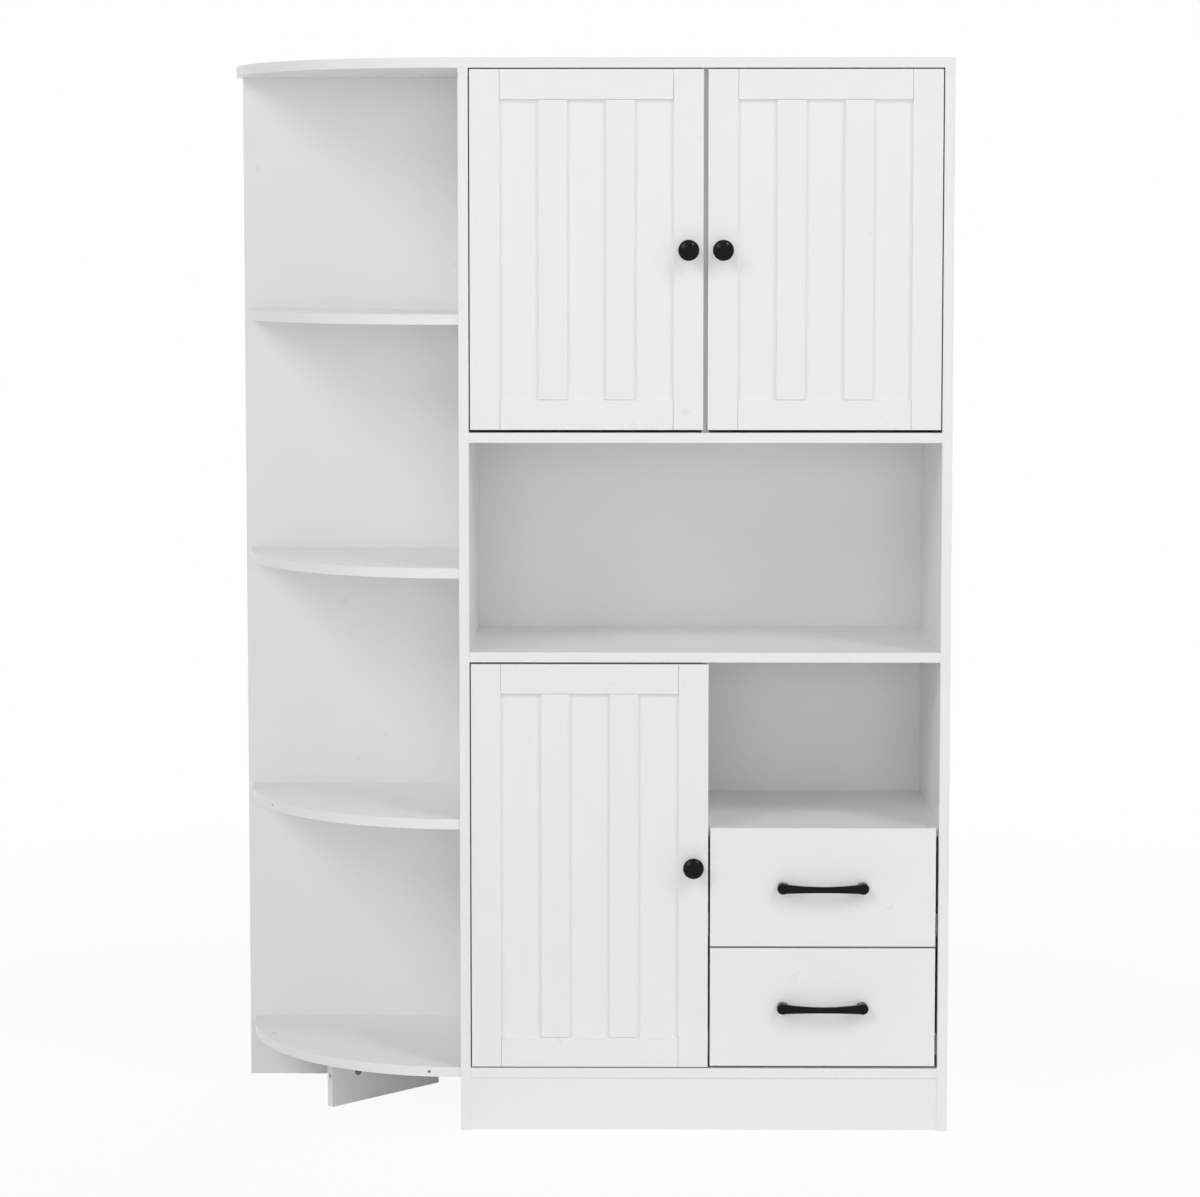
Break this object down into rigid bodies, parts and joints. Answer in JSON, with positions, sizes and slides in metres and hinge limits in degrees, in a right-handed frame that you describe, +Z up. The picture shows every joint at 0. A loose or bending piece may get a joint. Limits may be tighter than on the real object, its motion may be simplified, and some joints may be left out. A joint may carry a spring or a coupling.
{
  "type": "highboard",
  "caption": "Tall white highboard with inset battened doors, an open compartment, drawers under a niche, and a quarter-round wing of open shelves.",
  "frame": {"origin": "centre of the bounding box on the floor", "axes": "+Z up, +X towards the cabinet's right side as seen from the front, +Y towards the back"},
  "size_m": [1.16, 0.411, 1.7],
  "materials": {
    "white_board": "white melamine on particle board",
    "black_metal": "matt black coating",
    "nickel_steel": "nickel plated",
    "zinc_steel": "zinc plated",
    "bearing_steel": "ground balls in a zinc plated cage",
    "beech": "bare fluted beech"
  },
  "bodies": {
    "carcass": {"adjustable_shelf_lower": "white_board", "adjustable_shelves_upper": "white_board", "back_panel": "white_board", "bottom_panel": "white_board", "cam_fittings": "zinc_steel", "carcass_screws": "zinc_steel", "divider_lower": "white_board", "divider_upper": "white_board", "fixed_shelf_lower": "white_board", "fixed_shelf_upper": "white_board", "hinge_arms": "nickel_steel", "hinge_plates": "nickel_steel", "niche_board": "white_board", "plinth": "white_board", "shelf_pins": "nickel_steel", "side_panel_left": "white_board", "side_panel_right": "white_board", "slide_outer_rails": "zinc_steel", "top_panel": "white_board", "wing_back_board": "white_board", "wing_foot": "white_board", "wing_shelf_1": "white_board", "wing_shelf_2": "white_board", "wing_shelf_3": "white_board", "wing_shelf_4": "white_board", "wooden_dowels": "beech"},
    "door_lower": {"door_lower_battens": "white_board", "door_lower_hinge_cups": "nickel_steel", "door_lower_knob": "black_metal", "door_lower_panel": "white_board", "door_lower_rails": "white_board", "door_lower_stiles": "white_board"},
    "door_upper_left": {"door_upper_left_battens": "white_board", "door_upper_left_hinge_cups": "nickel_steel", "door_upper_left_knob": "black_metal", "door_upper_left_panel": "white_board", "door_upper_left_rails": "white_board", "door_upper_left_stiles": "white_board"},
    "door_upper_right": {"door_upper_right_battens": "white_board", "door_upper_right_hinge_cups": "nickel_steel", "door_upper_right_knob": "black_metal", "door_upper_right_panel": "white_board", "door_upper_right_rails": "white_board", "door_upper_right_stiles": "white_board"},
    "drawer_bottom": {"drawer_bottom_back": "white_board", "drawer_bottom_bottom": "white_board", "drawer_bottom_front": "white_board", "drawer_bottom_handle": "black_metal", "drawer_bottom_screws": "zinc_steel", "drawer_bottom_sides": "white_board", "drawer_bottom_slide_inner_rails": "zinc_steel"},
    "drawer_bottom_cages": {"drawer_bottom_ball_cages": "bearing_steel"},
    "drawer_top": {"drawer_top_back": "white_board", "drawer_top_bottom": "white_board", "drawer_top_front": "white_board", "drawer_top_handle": "black_metal", "drawer_top_screws": "zinc_steel", "drawer_top_sides": "white_board", "drawer_top_slide_inner_rails": "zinc_steel"},
    "drawer_top_cages": {"drawer_top_ball_cages": "bearing_steel"}
  },
  "joints": [
    {"name": "door_upper_left_hinge", "type": "hinge", "parent": "carcass", "child": "door_upper_left", "pos_m": [-0.1545, -0.1705, 1.3995], "axis": [0, 0, -1], "range_deg": [0, 95]},
    {"name": "door_upper_right_hinge", "type": "hinge", "parent": "carcass", "child": "door_upper_right", "pos_m": [0.5395, -0.1705, 1.3995], "axis": [0, 0, 1], "range_deg": [0, 95]},
    {"name": "door_lower_hinge", "type": "hinge", "parent": "carcass", "child": "door_lower", "pos_m": [-0.1545, -0.1705, 0.4265], "axis": [0, 0, -1], "range_deg": [0, 95]},
    {"name": "drawer_top_slide", "type": "slide", "parent": "carcass", "child": "drawer_top", "axis": [0, -1, 0], "range_m": [0, 0.225]},
    {"name": "drawer_bottom_slide", "type": "slide", "parent": "carcass", "child": "drawer_bottom", "axis": [0, -1, 0], "range_m": [0, 0.225]},
    {"name": "drawer_top_cage_slide", "type": "slide", "parent": "carcass", "child": "drawer_top_cages", "axis": [0, -1, 0], "range_m": [0, 0.1125]},
    {"name": "drawer_bottom_cage_slide", "type": "slide", "parent": "carcass", "child": "drawer_bottom_cages", "axis": [0, -1, 0], "range_m": [0, 0.1125]}
  ],
  "couplings": [
    {"joint": "drawer_top_cage_slide", "follows": "drawer_top_slide", "ratio": 0.5},
    {"joint": "drawer_bottom_cage_slide", "follows": "drawer_bottom_slide", "ratio": 0.5}
  ]
}
